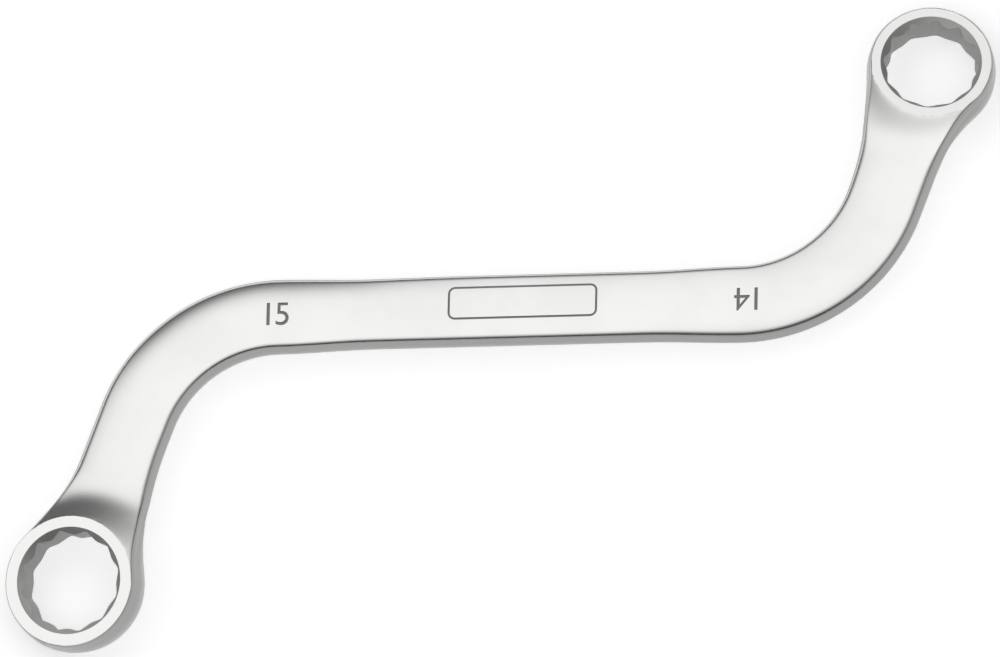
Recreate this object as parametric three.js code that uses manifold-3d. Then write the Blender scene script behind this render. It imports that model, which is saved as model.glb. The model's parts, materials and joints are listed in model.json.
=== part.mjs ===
// S-shaped double ring spanner: one drop-forged steel bar, bent twice, with a tilted ring head at each end.
// Millimetres. +X runs along the straight middle of the S, +Z is up, and the spanner lies on its back.
// The outline has half-turn symmetry about the middle of the bar, apart from the size of the two heads.

import * as THREE from "three";
import { mergeVertices } from "three/addons/utils/BufferGeometryUtils.js";
import Module from "manifold-3d";

const wasm = await Module();
wasm.setup();

// Centreline of the S
const BAR_LENGTH = 77.3; // straight middle, between the two bends
const BEND_RADIUS = 24.8; // on the centreline
const BEND_ANGLE = THREE.MathUtils.degToRad(70.6);

// Section of the forged bar
const BAR_WIDTH = 12; // middle of the bar, at the die's parting line
const BEND_WIDTH = 12.9; // middle of a bend, where the steel is spread
const LEG_WIDTH = 13; // straight leg between a bend and a head
const BAR_THICKNESS = 5.2;
const SIDE_DRAFT = 0.3; // the parting line stands this far proud of the edges of the faces
const EDGE_RADIUS = 0.9; // along the inside of the bends and the middle of the bar
const OUTER_EDGE_RADIUS = 1.8; // along the outside of the bends
const WIDENING = 16; // length of bar before a bend over which width and edge change

// Ring heads
const HEAD_TILT = THREE.MathUtils.degToRad(11); // each head leans outwards, away from the bar
const LEAN_TURN = THREE.MathUtils.degToRad(24); // direction of that lean, from the leg towards the bar
const HEAD_INSET = 0.4; // head centre, from the leg's centreline towards the inside of the bend
const HEAD_EDGE_RADIUS = 0.5;
const HEAD_DRAFT = 0.2; // the drum's parting line stands this far proud of its ends
const BORE_POINTS = 12;
const PILOT_SHARE = 0.5; // hole that guides the broach, as a share of the size across flats
const COUNTERSINK_MARGIN = 0.3; // countersink radius at the face, beyond the corners of the bore
const COUNTERSINK_SLOPE = THREE.MathUtils.degToRad(30); // from the face
const LARGE_HEAD = { acrossFlats: 15, outerDiameter: 23, height: 6.9, legLength: 30.4, broachTurn: 0 };
const SMALL_HEAD = { acrossFlats: 14, outerDiameter: 21.4, height: 6.8, legLength: 24.2, broachTurn: 15 };

// Necks between leg and head
const INNER_FLARE_RADIUS = 56; // concave side of the neck, inside of the bend
const OUTER_FLARE_RADIUS = 32; // concave side of the neck, outside of the bend
const RAMP_ANGLE = THREE.MathUtils.degToRad(33); // slope from the bar's face up to the head's face
const RAMP_FOOT_RADIUS = 4; // hollow at the foot of the slope
const FACE_STAND = 0.45; // the ground face of a head stands this far above the neck that meets it
const DRUM_OVERLAP = 0.15; // the flares dip this far into the drum, so that the two join cleanly

// Reach of the cutters past the faces, and the distance below which two vertices are one
const CUT_OVERSHOOT = 1;
const MERGE_DISTANCE = 1e-4;

// Fineness of the curved surfaces
const DRUM_SEGMENTS = 84;
const CORNER_STEPS = 3;
const FACE_STEPS = 7;
const BAR_STEP = 6;
const BEND_STEP = 2.2;
const NECK_STEP = 1.1;

const STEEL = new THREE.MeshStandardMaterial({ color: 0xd4d5d6, roughness: 0.32, metalness: 1 });

const UP = new THREE.Vector3(0, 0, 1);
const halfBar = BAR_LENGTH / 2;
const bendLength = BEND_RADIUS * BEND_ANGLE;
const halfThickness = BAR_THICKNESS / 2;
const outerRadius = (head) => head.outerDiameter / 2;
const pilotRadius = (head) => (head.acrossFlats / 2) * PILOT_SHARE;
const cornerRadius = (head) => head.acrossFlats / 2 / Math.cos(Math.PI / 6);
const halfPath = (head) => halfBar + bendLength + head.legLength;

// Point and heading of the centreline at a distance from the middle of the bar, on the +X half.
function centreline(distance) {
  const turned = THREE.MathUtils.clamp((distance - halfBar) / BEND_RADIUS, 0, BEND_ANGLE);
  const alongBar = Math.min(distance, halfBar);
  const alongLeg = Math.max(distance - halfBar - bendLength, 0);
  const heading = new THREE.Vector2(Math.cos(turned), Math.sin(turned));
  const point = new THREE.Vector2(alongBar + BEND_RADIUS * heading.y, BEND_RADIUS * (1 - heading.x));
  return { point: point.addScaledVector(heading, alongLeg), heading };
}

// Full width of the bar away from the necks: it swells in the bend and draws in again along the leg.
function barWidth(distance) {
  const middleOfBend = halfBar + bendLength / 2;
  const endOfBend = halfBar + bendLength;
  const spread = THREE.MathUtils.smoothstep(distance, halfBar - WIDENING, middleOfBend);
  const drawn = THREE.MathUtils.smoothstep(distance, middleOfBend, endOfBend);
  return BAR_WIDTH + (BEND_WIDTH - BAR_WIDTH) * spread + (LEG_WIDTH - BEND_WIDTH) * drawn;
}

// One side of a neck is a concave arc that touches the side of the leg and the drum of the head.
// Gives the arc's radius and its two ends, measured along the leg from the head's centre.
function flareArc(head, inner) {
  const drum = outerRadius(head) - DRUM_OVERLAP;
  const radius = inner ? INNER_FLARE_RADIUS : OUTER_FLARE_RADIUS;
  const side = LEG_WIDTH / 2 + (inner ? -HEAD_INSET : HEAD_INSET);
  const start = Math.sqrt((drum + radius) ** 2 - (side + radius) ** 2);
  return { radius, start, end: (drum * start) / (drum + radius) };
}

// How far one side of the neck stands out beyond the leg, at a distance from the head's centre.
function flare(head, toHead, inner) {
  const { radius, start, end } = flareArc(head, inner);
  const into = Math.max(start - Math.max(toHead, end), 0);
  return radius - Math.sqrt(radius ** 2 - into ** 2);
}

// Half height of a head over a point of the plan: along its leg towards the bar, and inwards from its centre.
function faceHeight(head, toHead, inwards, end) {
  const lean = Math.tan(HEAD_TILT) * (toHead * Math.cos(LEAN_TURN) + inwards * Math.sin(LEAN_TURN));
  return head.height / 2 / Math.cos(HEAD_TILT) + end * lean - FACE_STAND;
}

// Distance from a head's centre at which the slope up to its face begins, seen along the leg.
function rampStart(head) {
  const edge = outerRadius(head) - HEAD_DRAFT;
  const footRise = RAMP_FOOT_RADIUS * (1 - Math.cos(RAMP_ANGLE));
  const slopeRise = faceHeight(head, edge, 0, 1) - halfThickness - footRise;
  return edge + slopeRise / Math.tan(RAMP_ANGLE) + RAMP_FOOT_RADIUS * Math.sin(RAMP_ANGLE);
}

// Height of the neck's upper side over the middle plane: level, then a hollow foot and a slope that run
// round the head, up to its face.
function neckTop(head, toHead, inwards) {
  const into = Math.max(rampStart(head) - Math.hypot(toHead, inwards), 0);
  const footLength = RAMP_FOOT_RADIUS * Math.sin(RAMP_ANGLE);
  const inFoot = Math.min(into, footLength);
  const footRise = RAMP_FOOT_RADIUS - Math.sqrt(RAMP_FOOT_RADIUS ** 2 - inFoot ** 2);
  const slopeRise = (into - inFoot) * Math.tan(RAMP_ANGLE);
  return Math.min(halfThickness + footRise + slopeRise, faceHeight(head, toHead, inwards, 1));
}

// Depth of the neck's under side: it lifts towards the head, whose ground face stands proud of it all round.
function neckBottom(head, toHead, inwards) {
  const fromCentre = Math.hypot(toHead, inwards);
  const lifted = 1 - THREE.MathUtils.smoothstep(fromCentre, outerRadius(head), rampStart(head));
  return THREE.MathUtils.lerp(halfThickness, faceHeight(head, toHead, inwards, -1), lifted);
}

// One side of a section, from its upper edge to its lower edge: two rounded corners and a drafted side.
function sideProfile({ reach, top, bottom, radius, draft }) {
  const rounding = Math.min(radius, (top + bottom) / 2);
  const corner = (upper) => {
    const points = [];
    for (let i = 0; i <= CORNER_STEPS; i++) {
      const angle = ((upper ? CORNER_STEPS - i : i) / CORNER_STEPS) * (Math.PI / 2);
      const across = reach - draft - rounding * (1 - Math.cos(angle));
      const rise = rounding * (1 - Math.sin(angle));
      points.push(new THREE.Vector2(across, upper ? top - rise : rise - bottom));
    }
    return points;
  };
  return [...corner(true), new THREE.Vector2(reach, (top - bottom) / 2), ...corner(false)];
}

// Closed section of the forging at a signed distance from the middle of the bar, as points across and up.
function sectionProfile(signedDistance) {
  const distance = Math.abs(signedDistance);
  const half = signedDistance < 0 ? -1 : 1;
  const head = half < 0 ? LARGE_HEAD : SMALL_HEAD;
  const toHead = halfPath(head) - distance;
  const topAt = (across) => neckTop(head, toHead, half * across - HEAD_INSET);
  const bottomAt = (across) => neckBottom(head, toHead, half * across - HEAD_INSET);
  const rounding = THREE.MathUtils.smoothstep(distance, halfBar - WIDENING, halfBar);
  const side = (left) => {
    const inner = left === half;
    const reach = barWidth(distance) / 2 + flare(head, toHead, inner);
    const radius = inner ? EDGE_RADIUS : THREE.MathUtils.lerp(EDGE_RADIUS, OUTER_EDGE_RADIUS, rounding);
    const edge = left * (reach - SIDE_DRAFT - radius);
    const shape = { reach, top: topAt(edge), bottom: bottomAt(edge), radius, draft: SIDE_DRAFT };
    return sideProfile(shape).map((p) => new THREE.Vector2(left * p.x, p.y));
  };
  const left = side(1);
  const right = side(-1).reverse();
  const between = (from, to, height) => {
    const points = [];
    for (let i = 1; i < FACE_STEPS; i++) {
      const across = THREE.MathUtils.lerp(from.x, to.x, i / FACE_STEPS);
      points.push(new THREE.Vector2(across, height(across)));
    }
    return points;
  };
  const under = between(left.at(-1), right[0], (across) => -bottomAt(across));
  const upper = between(right.at(-1), left[0], topAt);
  return [...left, ...under, ...right, ...upper];
}

// The same section where it stands in the S.
function section(signedDistance) {
  const half = signedDistance < 0 ? -1 : 1;
  const { point, heading } = centreline(Math.abs(signedDistance));
  return sectionProfile(signedDistance).map(({ x: across, y: height }) => {
    const x = half * point.x - across * heading.y;
    const y = half * point.y + across * heading.x;
    return new THREE.Vector3(x, y, height);
  });
}

// Distances from the middle of the bar at which one half of the forging gets a section.
function stations(head) {
  const end = halfPath(head) - Math.min(flareArc(head, true).end, flareArc(head, false).end);
  const neck = halfPath(head) - rampStart(head);
  const marks = [];
  const run = (from, to, step) => {
    const count = Math.max(1, Math.round((to - from) / step));
    for (let i = 0; i < count; i++) marks.push(from + ((to - from) * i) / count);
  };
  run(0, halfBar, BAR_STEP);
  run(halfBar, halfBar + bendLength, BEND_STEP);
  run(halfBar + bendLength, neck, BEND_STEP);
  run(neck, end, NECK_STEP);
  return [...marks, end];
}

// Loft through the sections, closed at both ends inside the heads.
function barGeometry() {
  const largeHalf = stations(LARGE_HEAD).slice(1).reverse();
  const distances = [...largeHalf.map((d) => -d), ...stations(SMALL_HEAD)];
  const rings = distances.map(section);
  const around = rings[0].length;
  const positions = rings.flat().flatMap((p) => p.toArray());
  const index = [];
  for (let i = 0; i + 1 < rings.length; i++) {
    for (let j = 0; j < around; j++) {
      const a = i * around + j;
      const b = i * around + ((j + 1) % around);
      index.push(a, a + around, b, b, a + around, b + around);
    }
  }
  const last = (rings.length - 1) * around;
  for (let j = 1; j + 1 < around; j++) {
    index.push(0, j, j + 1);
    index.push(last, last + j + 1, last + j);
  }
  const geometry = new THREE.BufferGeometry();
  geometry.setAttribute("position", new THREE.Float32BufferAttribute(positions, 3));
  return geometry.setIndex(index);
}

// Turns a closed outline of radius and height about +Z.
function revolve(outline) {
  const closed = [...outline, outline[0]];
  return new THREE.LatheGeometry(closed, DRUM_SEGMENTS).rotateX(Math.PI / 2);
}

// Drum of a head before broaching: flat ends, rounded edges and drafted sides that meet at the parting line.
function drumGeometry(head) {
  const pilot = pilotRadius(head);
  const half = head.height / 2;
  const ends = { top: half, bottom: half, radius: HEAD_EDGE_RADIUS, draft: HEAD_DRAFT };
  const side = sideProfile({ reach: outerRadius(head), ...ends }).reverse();
  return revolve([...side, new THREE.Vector2(pilot, half), new THREE.Vector2(pilot, -half)]);
}

// Twelve-point bore: two hexagons, a twelfth of a turn apart, pushed right through.
function broachGeometry(head) {
  const notchRadius = head.acrossFlats / 2 / Math.cos(Math.PI / BORE_POINTS);
  const points = [];
  for (let i = 0; i < 2 * BORE_POINTS; i++) {
    const radius = i % 2 ? notchRadius : cornerRadius(head);
    const angle = (i / BORE_POINTS) * Math.PI;
    points.push(new THREE.Vector2(radius * Math.cos(angle), radius * Math.sin(angle)));
  }
  const depth = head.height + 2 * CUT_OVERSHOOT;
  const star = new THREE.ExtrudeGeometry(new THREE.Shape(points), { depth, bevelEnabled: false });
  return star.translate(0, 0, -depth / 2).rotateZ(THREE.MathUtils.degToRad(head.broachTurn));
}

// Countersink at one end of the bore, cut down to its notches.
function countersinkGeometry(head, end) {
  const rim = cornerRadius(head) + COUNTERSINK_MARGIN;
  const pilot = pilotRadius(head);
  const face = head.height / 2;
  const slope = Math.tan(COUNTERSINK_SLOPE);
  const outline = [
    new THREE.Vector2(pilot, face - (rim - pilot) * slope),
    new THREE.Vector2(rim + CUT_OVERSHOOT / slope, face + CUT_OVERSHOOT),
    new THREE.Vector2(pilot, face + CUT_OVERSHOOT),
  ];
  const cone = revolve(outline);
  return end > 0 ? cone : cone.rotateX(Math.PI);
}

// Puts a shape made about the origin at a head: turned to its leg, leaning outwards and moved to its centre.
function placeAtHead(geometry, head) {
  const { point, heading } = centreline(halfPath(head));
  const centre = point.addScaledVector(new THREE.Vector2(-heading.y, heading.x), HEAD_INSET);
  const leanAxis = new THREE.Vector3(0, 1, 0).applyAxisAngle(UP, BEND_ANGLE - LEAN_TURN);
  const lean = new THREE.Matrix4().makeRotationAxis(leanAxis, HEAD_TILT);
  geometry.rotateZ(BEND_ANGLE).applyMatrix4(lean).translate(centre.x, centre.y, 0);
  return head === LARGE_HEAD ? geometry.rotateZ(Math.PI) : geometry;
}

// A closed geometry as a solid that can be joined and cut.
function solid(geometry) {
  const bare = geometry.clone();
  bare.deleteAttribute("normal");
  bare.deleteAttribute("uv");
  const merged = mergeVertices(bare, MERGE_DISTANCE);
  const vertProperties = merged.attributes.position.array;
  const triVerts = new Uint32Array(merged.index.array);
  return new wasm.Manifold(new wasm.Mesh({ numProp: 3, vertProperties, triVerts }));
}

function geometryOf(shape) {
  const { vertProperties, triVerts } = shape.getMesh();
  const geometry = new THREE.BufferGeometry();
  geometry.setAttribute("position", new THREE.BufferAttribute(vertProperties, 3));
  geometry.setIndex(new THREE.BufferAttribute(triVerts, 1));
  geometry.computeVertexNormals();
  return geometry;
}

function spanner() {
  let forging = solid(barGeometry());
  for (const head of [LARGE_HEAD, SMALL_HEAD]) {
    forging = forging.add(solid(placeAtHead(drumGeometry(head), head)));
    forging = forging.subtract(solid(placeAtHead(broachGeometry(head), head)));
    for (const end of [1, -1]) {
      forging = forging.subtract(solid(placeAtHead(countersinkGeometry(head, end), head)));
    }
  }
  const mesh = new THREE.Mesh(geometryOf(forging), STEEL);
  mesh.name = "spanner";
  return mesh;
}

// The origin is under the middle of the spanner, on the surface that it lies on.
function layOnBench(mesh) {
  const box = new THREE.Box3().setFromObject(mesh, true);
  const centre = box.getCenter(new THREE.Vector3());
  mesh.position.set(-centre.x, -centre.y, -box.min.z);
  return mesh;
}

const object = new THREE.Group();
object.add(layOnBench(spanner()));

export default object;
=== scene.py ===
# %% [markdown]
# # An S-shaped ring spanner in satin chrome
#
# The real tool is one steel forging: a flat bar bent twice into an S, with a ring at each end that leans
# outwards. It is forged, ground flat round the rings, broached, stamped with its two sizes and plated.
# The lesson follows that order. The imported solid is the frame: it gives the size and the place of everything.

# %% Load the frame
import json
import math

import bpy
import numpy as np
from mathutils import Matrix, Vector


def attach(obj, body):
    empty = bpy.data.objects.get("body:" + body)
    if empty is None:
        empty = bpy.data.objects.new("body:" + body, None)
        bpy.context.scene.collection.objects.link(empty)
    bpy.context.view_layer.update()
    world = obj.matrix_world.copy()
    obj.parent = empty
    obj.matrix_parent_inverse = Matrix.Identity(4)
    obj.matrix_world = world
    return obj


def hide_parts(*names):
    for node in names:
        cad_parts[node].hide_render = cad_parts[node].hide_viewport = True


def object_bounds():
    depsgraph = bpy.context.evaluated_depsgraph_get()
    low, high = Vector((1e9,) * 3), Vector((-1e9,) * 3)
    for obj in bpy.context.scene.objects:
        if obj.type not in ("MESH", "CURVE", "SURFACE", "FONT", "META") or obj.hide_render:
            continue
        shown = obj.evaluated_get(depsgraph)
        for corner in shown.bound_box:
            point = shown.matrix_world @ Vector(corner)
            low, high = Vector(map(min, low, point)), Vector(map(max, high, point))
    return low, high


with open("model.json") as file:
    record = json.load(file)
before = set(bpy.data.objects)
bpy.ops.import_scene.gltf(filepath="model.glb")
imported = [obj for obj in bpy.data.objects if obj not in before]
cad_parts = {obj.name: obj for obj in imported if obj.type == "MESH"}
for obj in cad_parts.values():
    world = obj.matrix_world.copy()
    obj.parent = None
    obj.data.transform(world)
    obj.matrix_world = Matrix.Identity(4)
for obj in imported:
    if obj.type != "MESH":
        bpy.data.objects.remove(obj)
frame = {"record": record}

MM = 0.001
cad_low, cad_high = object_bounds()
bar_face = next(m for m in frame["record"]["mounts"] if m["name"] == "bar_face")
bar_back = next(m for m in frame["record"]["mounts"] if m["name"] == "bar_back")
bar_middle = (Vector(bar_face["pos_m"]) + Vector(bar_back["pos_m"])) / 2
print("solid box in mm:", [round(v / MM, 2) for v in (*cad_low, *cad_high)])
print("middle of the bar in mm:", [round(v / MM, 3) for v in bar_middle])

# %% [markdown]
# ## The sizes of the forging
#
# A forging is easiest to describe from its middle outwards: half of the straight bar, a bend, a straight leg
# and a ring. The two halves are alike, half a turn apart, but for the sizes of the leg, the ring and the ramp
# between them. Lengths are in mm.

# %% Sizes of the bar and the two rings
BAR_LENGTH = 77.3
BEND_RADIUS = 24.8
BEND_ANGLE = math.radians(70.6)
BAR_WIDTH = 12.0
BEND_WIDTH = 12.9
LEG_WIDTH = 13.0
BAR_THICKNESS = 5.2
WIDENING = 16.0
DRAFT = 0.3
HEAD_TILT = math.radians(11)
LEAN_TURN = math.radians(24)
HEAD_INSET = 0.4
INNER_FLARE = 56.0
OUTER_FLARE = 32.0

LARGE = dict(name="large", half=-1, flats=15.0, radius=11.5, height=6.9, leg=30.4, broach_turn=0.0,
             foot=16.4, foot_blend=1.6, shoulder=0.1, land_edge=0.8, edge=0.45, drop=1.3)
SMALL = dict(name="small", half=1, flats=14.0, radius=10.7, height=6.8, leg=24.2, broach_turn=math.pi / 12,
             foot=14.4, foot_blend=2.0, shoulder=0.2, land_edge=0.95, edge=0.6, drop=1.5)

HALF_BAR = BAR_LENGTH / 2
BEND_RUN = BEND_RADIUS * BEND_ANGLE
LEVEL = BAR_THICKNESS / 2


def path_end(head):
    """Distance along the middle line from the middle of the bar to a ring's centre."""
    return HALF_BAR + BEND_RUN + head["leg"]


def centreline(distance):
    """Point and heading of the middle line at a distance from the middle of the bar."""
    if distance <= HALF_BAR:
        return Vector((distance, 0)), Vector((1, 0))
    turn = min(distance - HALF_BAR, BEND_RUN) / BEND_RADIUS
    straight = max(distance - HALF_BAR - BEND_RUN, 0)
    heading = Vector((math.cos(turn), math.sin(turn)))
    point = Vector((HALF_BAR + BEND_RADIUS * math.sin(turn), BEND_RADIUS * (1 - math.cos(turn))))
    return point + heading * straight, heading


for head in (LARGE, SMALL):
    print(head["name"], "ring lies", round(path_end(head), 2), "mm along the middle line")

# %% [markdown]
# ## The outline of the forging
#
# Seen from above, the leg flares into the ring by two arcs that touch the ring, a long one on the inside of
# the S and a shorter one on the outside. `reach` gives how far the metal reaches to one side. With an inset,
# it gives the same outline moved inwards, which is what an even edge rounding needs.

# %% The outline from above
def smoothstep(low, high, value):
    """0 below low, 1 above high, and an even S-curve between."""
    x = np.clip((value - low) / (high - low), 0, 1)
    return x * x * (3 - 2 * x)


def half_width(distance):
    """Half of the bar's width, which grows a little towards the bends."""
    bend = smoothstep(HALF_BAR - WIDENING, HALF_BAR, distance)
    leg = smoothstep(HALF_BAR, HALF_BAR + BEND_RUN, distance)
    return (BAR_WIDTH + (BEND_WIDTH - BAR_WIDTH) * bend + (LEG_WIDTH - BEND_WIDTH) * leg) / 2


def flare_start(head, inner):
    """Distance before the ring's centre at which a side starts to flare."""
    flare = INNER_FLARE if inner else OUTER_FLARE
    side = LEG_WIDTH / 2 + (-HEAD_INSET if inner else HEAD_INSET)
    return math.sqrt((head["radius"] + flare) ** 2 - (side + flare) ** 2)


def reach(head, to_head, inset, inner):
    """Reach to one side of the ring's centre line, for an outline moved inwards by the inset."""
    flare = INNER_FLARE if inner else OUTER_FLARE
    start = flare_start(head, inner)
    side = half_width(path_end(head) - to_head) + (-HEAD_INSET if inner else HEAD_INSET)
    ring = head["radius"] - inset
    touch = ring * start / (head["radius"] + flare)
    along = np.clip(start - to_head, 0, None)
    flared = side + flare - np.sqrt(np.maximum((flare + inset) ** 2 - along**2, 0))
    round_part = np.sqrt(np.maximum(ring**2 - to_head**2, 0))
    return np.where(to_head >= start, side - inset, np.where(to_head > touch, flared, round_part))


for head in (LARGE, SMALL):
    starts = [round(flare_start(head, inner), 2) for inner in (True, False)]
    print(head["name"], "ring: flares start", starts, "mm before its centre")

# %% [markdown]
# ## The height of the forging
#
# Each ring leans, so its face plane climbs towards the leg, and a ramp leads down from the ring to the bar.
# The ramp is a straight slope with a soft foot, and `soft_max` is what makes that foot round. The face
# of the bar falls away a little to its sides, most on the outside of the bends, and `crown` gives that fall.
# Some spare metal is left over the ring. It is ground off later, so that the ground land ends crisply.

# %% The heights of the upper and lower surface
GRIND_STOCK = 0.7
GRIND_SLOPE = 0.9
UNDER_STEP = 0.45
UNDER_STEP_RUN = 0.6
UNDER_RUN_OUT = 1.0
RING_LEAD = 4.0
FLAT_FROM = 2.0
CROWN_POWER = 2.7
CROWN_BAR = 0.6
CROWN_BEND = 1.7
CROWN_LEG = 0.8
CROWN_START = 4.0
CROWN_LEAD = 4.0
TINY = 1e-6


def soft_max(a, b, blend):
    """The larger of two heights, with the corner between them rounded."""
    overlap = np.maximum(blend - np.abs(a - b), 0) / blend
    return np.maximum(a, b) + overlap**3 * blend / 6


def lean(to_head, inwards):
    """How far a point lies up the lean of a ring, and how far across it."""
    up = to_head * math.cos(LEAN_TURN) + inwards * math.sin(LEAN_TURN)
    across = inwards * math.cos(LEAN_TURN) - to_head * math.sin(LEAN_TURN)
    return up, across


def face_plane(head, up):
    """Height of a ring's upper face plane over the middle plane."""
    return head["height"] / 2 / math.cos(HEAD_TILT) + math.tan(HEAD_TILT) * up


def from_axis(head, to_head, inwards, side):
    """Distance from a ring's leaning axis, in its upper (1) or lower (-1) face plane."""
    up, across = lean(to_head, inwards)
    return np.hypot((up + side * head["height"] / 2 * math.sin(HEAD_TILT)) / math.cos(HEAD_TILT), across)


def land_radius(head):
    """Radius of the ground land round a ring."""
    return head["radius"] - head["land_edge"]


def crown(head, to_head, inwards):
    """How far the face of the bar falls away to its sides, most on the outside of the bends."""
    distance = path_end(head) - to_head
    outer = inwards + HEAD_INSET < 0
    onto_bend = smoothstep(CROWN_START, HALF_BAR + CROWN_LEAD, distance)
    onto_leg = smoothstep(HALF_BAR + BEND_RUN / 2, HALF_BAR + BEND_RUN + CROWN_LEAD, distance)
    bend_fall = CROWN_BAR + (CROWN_BEND - CROWN_BAR) * onto_bend
    outer_fall = bend_fall + (CROWN_LEG - bend_fall) * onto_leg
    share = np.minimum(np.abs(inwards + HEAD_INSET) / half_width(distance), 1)
    onto_ring = 1 - smoothstep(head["foot"] - CROWN_LEAD, head["foot"] + CROWN_LEAD, to_head)
    return np.where(outer, outer_fall, CROWN_BAR) * share**CROWN_POWER * (1 - onto_ring)


def upper(head, to_head, inwards):
    """Height of the forged upper surface."""
    land = land_radius(head)
    span = np.maximum(from_axis(head, to_head, inwards, 1), TINY)
    plane = face_plane(head, lean(to_head, inwards)[0])
    beyond = np.maximum(span - land, 0)
    edge = plane - math.tan(HEAD_TILT) * beyond * np.maximum(to_head, 0) / span
    slope = (face_plane(head, land * math.cos(LEAN_TURN)) - LEVEL) / (head["foot"] - land)
    run = np.sqrt(beyond**2 + head["shoulder"] ** 2) - head["shoulder"]
    ramp = soft_max(edge - slope * run, LEVEL, head["foot_blend"])
    stock = plane + np.minimum(GRIND_SLOPE * (land - span), GRIND_STOCK)
    near = np.where(span < land, stock, plane + (ramp - plane) * smoothstep(0, RING_LEAD, to_head))
    return np.where(to_head > head["foot"] * FLAT_FROM, LEVEL, near) - crown(head, to_head, inwards)


def lower(head, to_head, inwards):
    """Depth of the forged lower surface."""
    land = land_radius(head)
    span = from_axis(head, to_head, inwards, -1)
    plane = face_plane(head, -lean(to_head, inwards)[0])
    stock = plane + np.minimum(GRIND_SLOPE * (land - span), GRIND_STOCK)
    stepped = plane - UNDER_STEP * smoothstep(land, land + UNDER_STEP_RUN, span)
    fall = smoothstep(head["radius"], head["foot"] + UNDER_RUN_OUT, to_head)
    neck = stepped * (1 - fall) + LEVEL * fall
    near = np.where(span < land, stock, plane + (neck - plane) * smoothstep(0, RING_LEAD, to_head))
    return np.where(to_head > head["foot"] * FLAT_FROM, LEVEL, near)


for head in (LARGE, SMALL):
    along = np.array([land_radius(head), head["foot"], head["leg"]])
    print(head["name"], "ring: heights over the middle plane", np.round(upper(head, along, along * 0), 2))

# %% [markdown]
# ## The edges of the forging
#
# The upper edges are dressed round, and the rounding isn't one number. It is a little wider on the legs, and
# a little tighter on the outside of a bend, where the crown already falls away. Along the neck it turns into
# the edge of the ring. A Bevel modifier would give one width, so a function of the place gives it instead.

# %% The rounding of the edges
BAR_EDGE = 1.0
BEND_EDGE = 0.9
LEG_EDGE = 1.2
LOWER_EDGE = 0.9
BEND_RUN_IN = 20.0
LEG_RUN_OUT = 6.0
RING_RUN_IN = 3.0
RING_RUN_OUT = 1.0


def edge_rounding(head, to_head, inner):
    """Width and drop of the rounding of an upper edge."""
    distance = path_end(head) - to_head
    bend_middle = HALF_BAR + BEND_RUN / 2
    onto_bend = smoothstep(HALF_BAR - BEND_RUN_IN, bend_middle, distance)
    onto_leg = smoothstep(bend_middle, HALF_BAR + BEND_RUN + LEG_RUN_OUT, distance)
    onto_ring = 1 - smoothstep(head["radius"] - RING_RUN_OUT, head["foot"] + RING_RUN_IN, to_head)
    width = BAR_EDGE + (LEG_EDGE - BAR_EDGE) * onto_leg
    if not inner:
        width = width + (BEND_EDGE - width) * onto_bend * (1 - onto_leg)
    return width + (head["edge"] - width) * onto_ring, width + (head["drop"] - width) * onto_ring


for share in (0, 0.5, 1):
    along = path_end(LARGE) - HALF_BAR - share * BEND_RUN
    print("outer edge rounding at", share, "of the bend:", np.round(edge_rounding(LARGE, along, False), 2))

# %% [markdown]
# ## Rolling a sheet into the forging
#
# The forging could be carved from a block, but its edges would then be jagged where the carving crosses the
# block's own grid. A grid that is rolled round the bar has its lines along the edges instead, so they stay
# clean. Each row of the sheet becomes one section, from the tip of the large ring to that of the small one.

# %% One section of the forging
CORNER_COLUMNS = 6
WALL_COLUMNS = 4
TOP_COLUMNS = 44
UNDER_COLUMNS = 26
LEAST_HEIGHT = 0.2


def leaned(head, to_head, inwards, height):
    """Moves a point of an upright ring's outline to where the leaning ring has it."""
    share = 1 - smoothstep(head["radius"] / 2, head["foot"], to_head)
    up, across = lean(to_head, inwards)
    up = up + share * (up / math.cos(HEAD_TILT) - up - height * math.tan(HEAD_TILT))
    along = up * math.cos(LEAN_TURN) - across * math.sin(LEAN_TURN)
    return along, up * math.sin(LEAN_TURN) + across * math.cos(LEAN_TURN)


def rounded_edge(head, to_head, inner, surface, width, drop, side):
    """An edge of a section, from its flat to its wall: plan place and height."""
    turn = np.linspace(math.pi / 2, 0, CORNER_COLUMNS + 1)
    inset = DRAFT + width * (1 - np.cos(turn))
    sign = 1 if inner else -1
    out = reach(head, to_head, inset, inner)
    fall = drop * (1 - np.sin(turn))
    along = np.maximum(to_head, inset - head["radius"])
    rough = surface(head, along, out * sign) - fall
    along, inwards = leaned(head, along, out * sign, rough * side)
    height = np.maximum(surface(head, along, inwards) - fall, LEAST_HEIGHT)
    return np.stack((along, inwards, height * side), axis=1)


def side_points(head, to_head, inner):
    """One side of a section, from the upper flat to the lower flat."""
    width, drop = edge_rounding(head, to_head, inner)
    under_width = min(width, LOWER_EDGE)
    top = rounded_edge(head, to_head, inner, upper, width, drop, 1)
    under = rounded_edge(head, to_head, inner, lower, under_width, under_width, -1)
    share = np.linspace(0, 1, WALL_COLUMNS + 1)[1:-1]
    inset = DRAFT * (1 - np.sin(math.pi * share))
    out = reach(head, to_head, inset, inner) * (1 if inner else -1)
    height = top[-1, 2] + (under[-1, 2] - top[-1, 2]) * share
    along, inwards = leaned(head, np.maximum(to_head, inset - head["radius"]), out, height)
    return np.concatenate((top, np.stack((along, inwards, height), axis=1), under[::-1]))


def flat_points(head, start, end, columns, surface, side):
    """The flat between two sides, without its ends."""
    share = np.linspace(0, 1, columns + 1)[1:-1, None]
    points = start + (end - start) * share
    points[:, 2] = surface(head, points[:, 0], points[:, 1]) * side
    return points


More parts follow.
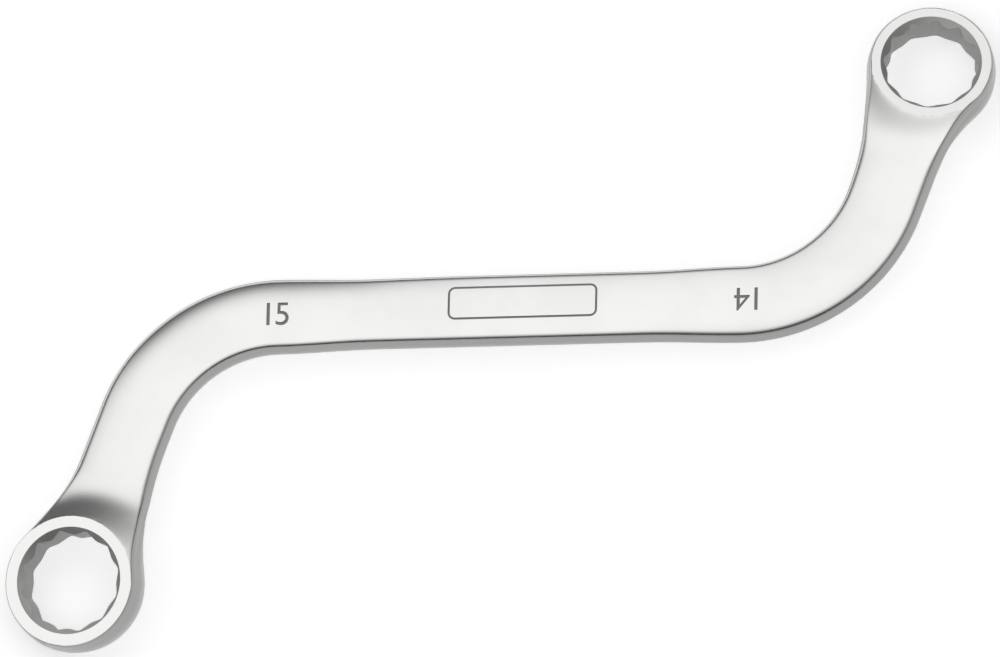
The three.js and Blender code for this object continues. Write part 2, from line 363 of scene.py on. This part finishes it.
def section(head, to_head):
    """A closed section in mm about the middle of the bar; its first point comes again as its last."""
    left_is_inner = head["half"] > 0
    left = side_points(head, to_head, left_is_inner)
    right = side_points(head, to_head, not left_is_inner)
    under = flat_points(head, left[-1], right[-1], UNDER_COLUMNS, lower, -1)
    top = flat_points(head, right[0], left[0], TOP_COLUMNS, upper, 1)
    ring = np.concatenate((left, under, right[::-1], top, left[:1]))
    point, heading = centreline(path_end(head) - to_head)
    ahead = to_head - ring[:, 0]
    inwards = ring[:, 1] + HEAD_INSET
    x = head["half"] * (point.x + ahead * heading.x - inwards * heading.y)
    y = head["half"] * (point.y + ahead * heading.y + inwards * heading.x)
    return np.stack((x, y, ring[:, 2]), axis=1)


print("points round one section:", len(section(SMALL, SMALL["leg"])))

# %% [markdown]
# The rows lie close together where the surface turns quickly and far apart on the straight bar. Round the tip
# of a ring they follow equal angles, so the outline stays smooth where the sheet closes.

# %% Roll the sheet
BAR_ROWS = 20
BEND_ROWS = 46
LEG_ROW = 1.0
NECK_ROW = 0.34
TIP_ROW = math.radians(2.4)
NECK_LEAD = 7.0
RING_START = 0.35
SHEET_SIZE = 0.1
WELD = 1e-5
LEAST_EDGE = WELD / 10


def rows_of(head):
    """Distances before the ring's centre at which a half gets its sections, from the middle to the tip."""
    end = path_end(head)
    neck = head["foot"] + NECK_LEAD
    ring = RING_START * head["radius"]
    bar = end - np.linspace(0, HALF_BAR, BAR_ROWS)
    bend = end - HALF_BAR - np.linspace(0, BEND_RUN, BEND_ROWS)[1:]
    leg = np.linspace(head["leg"], neck, math.ceil((head["leg"] - neck) / LEG_ROW) + 1)[1:]
    throat = np.linspace(neck, ring, math.ceil((neck - ring) / NECK_ROW) + 1)[1:]
    first = math.acos(RING_START)
    angles = np.linspace(first, math.pi, math.ceil((math.pi - first) / TIP_ROW))
    return np.concatenate((bar, bend, leg, throat, head["radius"] * np.cos(angles[1:])))


def apply_to(piece, modifier):
    """Applies one modifier, as the Apply button does."""
    bpy.context.view_layer.objects.active = piece
    bpy.ops.object.modifier_apply(modifier=modifier.name)


def weld(piece):
    """Merges points that meet, drops faces without area and turns the rest outwards."""
    bpy.context.view_layer.objects.active = piece
    bpy.ops.object.mode_set(mode="EDIT")
    bpy.ops.mesh.select_all(action="SELECT")
    bpy.ops.mesh.remove_doubles(threshold=WELD)
    bpy.ops.mesh.dissolve_degenerate(threshold=LEAST_EDGE)
    bpy.ops.mesh.normals_make_consistent(inside=False)
    bpy.ops.object.mode_set(mode="OBJECT")
    piece.data.update()


bpy.ops.object.select_all(action="DESELECT")
rows = [section(LARGE, row) for row in rows_of(LARGE)[::-1]]
rows += [section(SMALL, row) for row in rows_of(SMALL)[1:]]
sheet = np.array(rows) * MM + np.array(bar_middle)
bpy.ops.mesh.primitive_grid_add(
    x_subdivisions=sheet.shape[1] - 1, y_subdivisions=sheet.shape[0] - 1, size=SHEET_SIZE)
forging = bpy.context.object
forging.name = "forging"
forging.data.vertices.foreach_set("co", sheet.astype(np.float32).ravel())
weld(forging)
print("forging:", len(forging.data.vertices), "points,", len(forging.data.polygons), "faces")

# %% [markdown]
# ## Grinding, countersinking and broaching the rings
#
# On the real tool these are cuts into the finished forging, so Boolean modifiers cut them here too. Each
# cutter is modelled upright at the origin and then leaned and moved with its ring. A cutter carries the
# finish that its cut leaves, and the Boolean passes that finish on to the new faces.

# %% Where the cutters go
def head_place(head):
    """Where an upright cutter at the origin goes to sit on a ring."""
    point, heading = centreline(path_end(head))
    centre = Vector((point.x - HEAD_INSET * heading.y, point.y + HEAD_INSET * heading.x, 0)) * MM
    direction = BEND_ANGLE - LEAN_TURN
    hinge = Vector((-math.sin(direction), math.cos(direction), 0))
    turn = Matrix.Rotation(math.pi if head["half"] < 0 else 0, 4, "Z")
    leaning = Matrix.Rotation(HEAD_TILT, 4, hinge) @ Matrix.Rotation(BEND_ANGLE, 4, "Z")
    return Matrix.Translation(bar_middle) @ turn @ Matrix.Translation(centre) @ leaning


def finish_named(name):
    """A material of this name, made once; its nodes come later."""
    return bpy.data.materials.get(name) or bpy.data.materials.new(name)


def cut(piece, cutter, finish):
    """Cuts a piece with a cutter, gives the cut its finish and throws the cutter away."""
    cutter.data.materials.clear()
    cutter.data.materials.append(finish_named(finish))
    boolean = piece.modifiers.new("cut", "BOOLEAN")
    boolean.operation = "DIFFERENCE"
    boolean.solver = "EXACT"
    boolean.material_mode = "TRANSFER"
    boolean.object = cutter
    apply_to(piece, boolean)
    bpy.data.objects.remove(cutter)


def put(cutter, place):
    """Bakes a place into a cutter's mesh, so that its object stays at the origin."""
    cutter.data.transform(place @ cutter.matrix_basis)
    cutter.matrix_basis = Matrix.Identity(4)
    return cutter


forging.data.materials.append(finish_named("satin_chrome_forged"))
for head in (LARGE, SMALL):
    axis = head_place(head).to_3x3() @ Vector((0, 0, 1))
    print(head["name"], "ring leans along", [round(v, 4) for v in axis])

# %% [markdown]
# A ring is ground on both faces until they are flat, which leaves a bright land round the bore. Moving points
# onto a plane would leave a ragged rim, so a wide disc takes the spare metal off, as a grinding wheel does.
# Under the ring the disc is narrower, because a wide one would cut into the leg.

# %% Grind both faces of each ring flat
DISC_SEGMENTS = 128
GRIND_DEPTH = 4.0
UPPER_DISC_MARGIN = 4.0
LOWER_DISC_MARGIN = 1.0

for head in (LARGE, SMALL):
    bpy.ops.object.select_all(action="DESELECT")
    half_height = head["height"] / 2
    for side, margin in ((1, UPPER_DISC_MARGIN), (-1, LOWER_DISC_MARGIN)):
        bpy.ops.mesh.primitive_cylinder_add(
            vertices=DISC_SEGMENTS, radius=(head["radius"] + margin) * MM, depth=GRIND_DEPTH * MM,
            location=(0, 0, side * (half_height + GRIND_DEPTH / 2) * MM))
        cut(forging, put(bpy.context.object, head_place(head)), "ground_face")
    print(head["name"], "ring ground, forging has", len(forging.data.polygons), "faces")

# %% [markdown]
# The bore has twelve points, so a hexagon fits in twelve ways, and both of its mouths are countersunk, so the
# tool slips on easily. A cone makes each mouth. The broach is a circle of 24 points, every second one pulled
# in to a notch. Its corners are rounded, and it is then extruded to reach through the ring.

# %% Countersink both mouths and broach the bore
BORE_POINTS = 12
HEX_SIDES = 6
COUNTERSINK_MARGIN = 0.3
COUNTERSINK_SLOPE = math.radians(52)
COUNTERSINK_DEPTH = 2.4
COUNTERSINK_OVERSHOOT = 0.5
NOTCH_ROUND = 0.45
NOTCH_SEGMENTS = 3
BROACH_REACH = 1.5


def thicken(half_depth):
    """Makes a closed cutter of the flat outline in edit mode, half over its plane and half under it."""
    bpy.ops.mesh.select_all(action="SELECT")
    bpy.ops.mesh.extrude_region_move(TRANSFORM_OT_translate={"value": (0, 0, 2 * half_depth)})
    bpy.ops.mesh.select_all(action="SELECT")
    bpy.ops.transform.translate(value=(0, 0, -half_depth))
    bpy.ops.mesh.normals_make_consistent(inside=False)
    bpy.ops.object.mode_set(mode="OBJECT")


for head in (LARGE, SMALL):
    flat = head["flats"] / 2
    notch = flat / math.cos(math.pi / BORE_POINTS)
    corner = flat / math.cos(math.pi / HEX_SIDES)
    mouth = corner + COUNTERSINK_MARGIN
    for side in (1, -1):
        inner_end = mouth - COUNTERSINK_DEPTH / math.tan(COUNTERSINK_SLOPE)
        outer_end = mouth + COUNTERSINK_OVERSHOOT / math.tan(COUNTERSINK_SLOPE)
        bottom, top = (inner_end, outer_end) if side > 0 else (outer_end, inner_end)
        middle = head["height"] / 2 + (COUNTERSINK_OVERSHOOT - COUNTERSINK_DEPTH) / 2
        bpy.ops.object.select_all(action="DESELECT")
        bpy.ops.mesh.primitive_cone_add(
            vertices=DISC_SEGMENTS, radius1=bottom * MM, radius2=top * MM,
            depth=(COUNTERSINK_DEPTH + COUNTERSINK_OVERSHOOT) * MM, location=(0, 0, side * middle * MM))
        cut(forging, put(bpy.context.object, head_place(head)), "broached_bore")
    bpy.ops.object.select_all(action="DESELECT")
    bpy.ops.mesh.primitive_circle_add(vertices=2 * BORE_POINTS, radius=corner * MM, fill_type="NGON")
    broach = bpy.context.object
    for point in broach.data.vertices:
        angle = math.atan2(point.co.y, point.co.x) + head["broach_turn"]
        sharp = round(angle / (math.pi / BORE_POINTS)) % 2 == 0
        point.co = point.co.normalized() * (corner if sharp else notch) * MM
    bpy.ops.object.mode_set(mode="EDIT")
    bpy.ops.mesh.select_all(action="SELECT")
    bpy.ops.mesh.bevel(
        offset=NOTCH_ROUND * MM, offset_type="OFFSET", segments=NOTCH_SEGMENTS, affect="VERTICES")
    thicken(BROACH_REACH * head["height"] * MM)
    cut(forging, put(broach, head_place(head)), "broached_bore")
    print(head["name"], "bore:", head["flats"], "mm across flats, mouth", round(2 * mouth, 2), "mm wide")

# %% [markdown]
# ## Stamping the marks
#
# The two sizes are struck into the bar, each to be read from its own ring, and a thin rounded frame is struck
# between them. Text is the natural start: it is made a flat mesh, given depth and cut in like any other tool.
# The place inside the frame stays bare.

# %% Stamp the sizes and the frame
STAMP_DEPTH = 0.2
DIGIT_SPACING = 0.85
DIGIT_HEIGHT = 3.9
DIGIT_TO_TEXT = 1 / 0.69
SIZE_MARKS = (("15", (-38.5, -0.45), 0.0), ("14", (39.8, 0.0), math.pi))
FRAME_LENGTH = 25.0
FRAME_WIDTH = 5.7
FRAME_CORNER = 1.2
FRAME_CORNER_SEGMENTS = 6
FRAME_LINE = 0.36
FRAME_DEPTH = 0.18
FRAME_PLACE = (2.5, 0.6)


def on_bar(place, turn):
    """Where an upright mark at the origin goes on the bar's marked face."""
    spot = Vector((place[0] * MM, place[1] * MM, LEVEL * MM)) + bar_middle
    return Matrix.Translation(spot) @ Matrix.Rotation(turn, 4, "Z")


for digits, place, turn in SIZE_MARKS:
    bpy.ops.object.select_all(action="DESELECT")
    bpy.ops.object.text_add()
    mark = bpy.context.object
    mark.data.body = digits
    mark.data.align_x = "CENTER"
    mark.data.align_y = "CENTER"
    mark.data.size = DIGIT_HEIGHT * DIGIT_TO_TEXT * MM
    mark.data.space_character = DIGIT_SPACING
    bpy.ops.object.convert(target="MESH")
    mark = bpy.context.object
    bpy.ops.object.mode_set(mode="EDIT")
    bpy.ops.mesh.select_all(action="SELECT")
    bpy.ops.mesh.remove_doubles(threshold=WELD)
    thicken(STAMP_DEPTH * MM)
    centre = sum((Vector(corner) for corner in mark.bound_box), Vector()) / len(mark.bound_box)
    size = [round(v / MM, 2) for v in mark.dimensions]
    cut(forging, put(mark, on_bar(place, turn) @ Matrix.Translation(-centre)), "stamped_mark")
    print("stamped", digits, "with a cutter of", size, "mm")

bpy.ops.object.select_all(action="DESELECT")
bpy.ops.mesh.primitive_plane_add(size=1)
border = bpy.context.object
bpy.ops.object.mode_set(mode="EDIT")
bpy.ops.transform.resize(value=(FRAME_LENGTH * MM, FRAME_WIDTH * MM, 1))
bpy.ops.mesh.bevel(
    offset=FRAME_CORNER * MM, offset_type="OFFSET", segments=FRAME_CORNER_SEGMENTS, affect="VERTICES")
bpy.ops.mesh.select_all(action="SELECT")
bpy.ops.mesh.inset(thickness=FRAME_LINE * MM, depth=0)
bpy.ops.mesh.delete(type="FACE")
thicken(FRAME_DEPTH * MM)
cut(forging, put(border, on_bar(FRAME_PLACE, 0)), "stamped_mark")
print("forging after all cuts:", len(forging.data.polygons), "faces")

# %% [markdown]
# ## Smooth shading
#
# The cuts leave points that nearly meet, so the mesh is welded again. Smooth by angle then keeps the crisp
# cuts and blends the rest. Weighted normals let the large faces keep their own direction, so the lands stay
# flat in the reflections and only the crown and the roundings bend them.

# %% Shade the forging
CRISP_ANGLE = math.radians(28)

weld(forging)
bpy.ops.object.select_all(action="DESELECT")
forging.select_set(True)
bpy.context.view_layer.objects.active = forging
bpy.ops.object.shade_smooth_by_angle(angle=CRISP_ANGLE)
weights = forging.modifiers.new("weights", "WEIGHTED_NORMAL")
weights.keep_sharp = True
apply_to(forging, weights)
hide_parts("spanner")
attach(forging, "root")
print("finishes:", [slot.name for slot in forging.data.materials])

# %% [markdown]
# ## A small tool for writing shaders
#
# A material is a graph of nodes. Written one node at a time it is hard to read, so one small class wraps a
# socket, lets values be added and multiplied as in plain Python, and makes every other node by one method.

# %% Wrap a socket
class Value:
    """A socket of a node tree that can be used in plain maths."""

    def __init__(self, tree, socket):
        self.tree = tree
        self.socket = socket

    def math(self, operation, a, b):
        """Joins two values by one maths node."""
        return node(self.tree, "ShaderNodeMath", dict(operation=operation), {0: a, 1: b})

    def __add__(self, other):
        return self.math("ADD", self, other)

    def __radd__(self, other):
        return self.math("ADD", other, self)

    def __sub__(self, other):
        return self.math("SUBTRACT", self, other)

    def __rsub__(self, other):
        return self.math("SUBTRACT", other, self)

    def __mul__(self, other):
        return self.math("MULTIPLY", self, other)

    def __rmul__(self, other):
        return self.math("MULTIPLY", other, self)

    def spread(self, low, high, to_low, to_high):
        """Moves a range of values smoothly to another range."""
        sockets = {"Value": self, "From Min": low, "From Max": high, "To Min": to_low, "To Max": to_high}
        return node(self.tree, "ShaderNodeMapRange", dict(interpolation_type="SMOOTHSTEP"), sockets)


def node(tree, kind, settings, sockets, output=0):
    """Adds a node, sets it up, links or fills its sockets and gives back one output."""
    made = tree.nodes.new(kind)
    for name, setting in settings.items():
        setattr(made, name, setting)
    for name, value in sockets.items():
        if isinstance(value, Value):
            tree.links.new(value.socket, made.inputs[name])
        else:
            made.inputs[name].default_value = value
    return Value(tree, made.outputs[output])


def clean_tree(owner):
    """The node tree of a material or world, emptied."""
    owner.use_nodes = True
    owner.node_tree.nodes.clear()
    return owner.node_tree


def show(tree, surface, kind="ShaderNodeOutputMaterial"):
    """Joins a shader to the output."""
    node_out = tree.nodes.new(kind)
    tree.links.new(surface.socket, node_out.inputs["Surface"])


print("shader helper ready")

# %% [markdown]
# ## Satin chrome
#
# Satin chrome is bright metal with a very fine blasted grain, so it mirrors the light softly. The forged
# skin under it is never quite even, which shows as faint clouds. Ground faces have a finer grain, bores are
# rougher and stamped marks are dark. Steep walls and roundings get painted shade: their base colour is darkened
# by the slope of the surface, standing in for the darker room that they mirror. A finish of their own would end
# in a hard line, so the slope blends the painted shade in.

# %% Make the metal finishes
# Painted shade: steep walls and roundings have their base colour lowered to this share, between these slopes.
PAINTED_SHADE_TONE = 0.4
PAINTED_SHADE_STARTS = 0.3
PAINTED_SHADE_FULL = 0.75
GRAIN = {"Detail": 3.0, "Roughness": 0.6}
CLOUDS = {"Scale": 90.0, "Detail": 4.0, "Roughness": 0.55}
CLOUD_BAND = (0.3, 0.7)
MIX_A, MIX_B, MIX_RESULT = 6, 7, 2


def metal(name, colour, rough, rough_swing, grain_scale, grain_depth, cloud_swing):
    """A plated metal finish with fine grain, faint clouds and painted shade on steep walls and roundings."""
    tree = clean_tree(finish_named(name))
    place = node(tree, "ShaderNodeTexCoord", {}, {}, "Object")
    grain = node(tree, "ShaderNodeTexNoise", {}, {"Vector": place, "Scale": grain_scale, **GRAIN}, "Fac")
    clouds = node(tree, "ShaderNodeTexNoise", {}, {"Vector": place, **CLOUDS}, "Fac")
    facing = node(tree, "ShaderNodeTexCoord", {}, {}, "Normal")
    up = node(tree, "ShaderNodeSeparateXYZ", {}, {"Vector": facing}, "Z")
    # Painted shade: the base colour darkens on steep walls and roundings, standing in for the darker room they
    # mirror.
    painted_wall_shade = (1 - up * up).spread(PAINTED_SHADE_STARTS, PAINTED_SHADE_FULL, 1.0, PAINTED_SHADE_TONE)
    shade = painted_wall_shade * clouds.spread(*CLOUD_BAND, 1 - cloud_swing, 1.0)
    tint = node(tree, "ShaderNodeMix", dict(data_type="RGBA", blend_type="MULTIPLY"),
                {"Factor": 1.0, MIX_A: (*colour, 1), MIX_B: shade}, MIX_RESULT)
    bump = node(tree, "ShaderNodeBump", {}, {"Strength": 1.0, "Distance": grain_depth, "Height": grain})
    sockets = {"Base Color": tint, "Metallic": 1.0, "Normal": bump,
               "Roughness": rough + (grain * rough_swing - rough_swing / 2)}
    show(tree, node(tree, "ShaderNodeBsdfPrincipled", {}, sockets))
    print("finish", name, "has", len(tree.nodes), "nodes")


metal("satin_chrome_forged", (0.84, 0.84, 0.83), rough=0.24, rough_swing=0.06,
      grain_scale=6000, grain_depth=1.5e-6, cloud_swing=0.04)
metal("ground_face", (0.85, 0.85, 0.84), rough=0.17, rough_swing=0.05,
      grain_scale=9000, grain_depth=1e-6, cloud_swing=0.02)
metal("broached_bore", (0.92, 0.92, 0.91), rough=0.55, rough_swing=0.1,
      grain_scale=3000, grain_depth=3e-6, cloud_swing=0.1)
metal("stamped_mark", (0.2, 0.2, 0.2), rough=0.4, rough_swing=0.1,
      grain_scale=5000, grain_depth=2e-6, cloud_swing=0.1)

# %% [markdown]
# ## The floor, the light and the camera
#
# The tool lies on white paper. Paper alone would need too much light on the tool to look white, so some light
# of its own is added where the camera sees it, or sees it mirrored in the metal. All other rays meet plain
# paper, and the floor keeps the soft shadow.

# %% Lay the floor
FLOOR_SIZE = 6.0
FLOOR_WHITE = 0.86
FLOOR_LIFT = 0.44
WHITE = (1, 1, 1, 1)

bpy.ops.object.select_all(action="DESELECT")
bpy.ops.mesh.primitive_plane_add(size=FLOOR_SIZE, location=(0, 0, 0))
floor = bpy.context.object
floor.name = "floor"
floor_tree = clean_tree(finish_named("pale_floor"))
paper = node(floor_tree, "ShaderNodeBsdfDiffuse", {}, {"Color": (FLOOR_WHITE, FLOOR_WHITE, FLOOR_WHITE, 1)})
lift = node(floor_tree, "ShaderNodeEmission", {}, {"Color": WHITE, "Strength": FLOOR_LIFT})
lifted = node(floor_tree, "ShaderNodeAddShader", {}, {0: paper, 1: lift})
rays = ("Is Camera Ray", "Is Glossy Ray", "Is Transmission Ray")
camera_ray, glossy_ray, clear_ray = (node(floor_tree, "ShaderNodeLightPath", {}, {}, ray) for ray in rays)
seen = camera_ray + glossy_ray + clear_ray
show(floor_tree, node(floor_tree, "ShaderNodeMixShader", {}, {0: seen, 1: paper, 2: lifted}))
floor.data.materials.append(finish_named("pale_floor"))
print("floor is", FLOOR_SIZE, "m wide")

# %% [markdown]
# Chrome shows the room, so the room is most of its look. Lamps could light it, but a world painted by
# direction has softer edges: a wide light overhead that fades to a dim room at the horizon. Flats that face
# up are bright, and edges that turn to the side go dark. Faint windows stand at the left and right, near the
# horizon, and the room is darkest in front.

# %% Light the room
LIGHT_LEVEL = 1.1
DIM_ROOM = 0.07
LEFT_WINDOW = 0.5
RIGHT_WINDOW = 0.35
FRONT_SHADE = 0.8
OVERHEAD_BAND = (0.24, 0.98)
HORIZON_BAND = (0.05, 0.5)
BACK_BAND = (0.2, 0.65)
FRONT_BAND = (-0.85, -0.3)
LEFT_BAND = (-1.0, -0.4)
RIGHT_BAND = (0.4, 1.0)

world = bpy.context.scene.world or bpy.data.worlds.new("room")
bpy.context.scene.world = world
world_tree = clean_tree(world)
direction = node(world_tree, "ShaderNodeTexCoord", {}, {}, "Generated")
x, y, z = (node(world_tree, "ShaderNodeSeparateXYZ", {}, {"Vector": direction}, axis) for axis in "XYZ")
overhead = z.spread(*OVERHEAD_BAND, DIM_ROOM, LIGHT_LEVEL)
at_horizon = z.spread(*HORIZON_BAND, 1.0, 0.0)
before_back = y.spread(*BACK_BAND, 1.0, 0.0)
shade = 1 - at_horizon * y.spread(*FRONT_BAND, FRONT_SHADE, 0.0)
windows = x.spread(*LEFT_BAND, LEFT_WINDOW, 0.0) + x.spread(*RIGHT_BAND, 0.0, RIGHT_WINDOW)
glow = overhead * shade + windows * at_horizon * before_back
show(world_tree, node(world_tree, "ShaderNodeBackground", {}, {"Color": WHITE, "Strength": glow}),
     "ShaderNodeOutputWorld")
print("overhead light", LIGHT_LEVEL, "windows", LEFT_WINDOW, RIGHT_WINDOW)

# %% [markdown]
# The photograph shows hardly any perspective, so the camera has a long lens and stands far away. Its distance
# follows from the scale of the picture, and its tilt, in degrees, from the shape of the two bores.

# %% Set the camera
IMAGE_WIDTH = 1000
IMAGE_HEIGHT = 657
PIXELS_PER_MM = 6.049
CENTRE_PIXEL = (500.88, 329.31)
TILT_RIGHT = 9.039
TILT_DOWN = 17.324
TURN = math.radians(-0.129)
SENSOR = 36.0
LENS = 600.0
CLIP_REACH = 4.0

tilt = math.radians(math.hypot(TILT_RIGHT, TILT_DOWN))
hinge = Vector((TILT_DOWN, TILT_RIGHT, 0)).normalized()
aim = Matrix.Rotation(TURN, 4, "Z") @ Matrix.Rotation(tilt, 4, hinge)
away = LENS / SENSOR * IMAGE_WIDTH / PIXELS_PER_MM * MM
target = (cad_low + cad_high) / 2
bpy.ops.object.camera_add(location=target + aim.to_3x3() @ Vector((0, 0, away)), rotation=aim.to_euler())
camera = bpy.context.object
camera.data.lens = LENS
camera.data.sensor_width = SENSOR
camera.data.shift_x = (IMAGE_WIDTH / 2 - CENTRE_PIXEL[0]) / IMAGE_WIDTH
camera.data.shift_y = (CENTRE_PIXEL[1] - IMAGE_HEIGHT / 2) / IMAGE_WIDTH
camera.data.clip_end = CLIP_REACH * away
bpy.context.scene.camera = camera
bpy.context.scene.view_settings.view_transform = "Standard"
print("camera", round(away, 3), "m away, tilted", round(math.degrees(tilt), 2), "degrees from straight down")

# %% [markdown]
# At the end, the triangles of the forging are counted.

# %% Count the triangles
print("triangles:", sum(len(face.vertices) - 2 for face in forging.data.polygons))
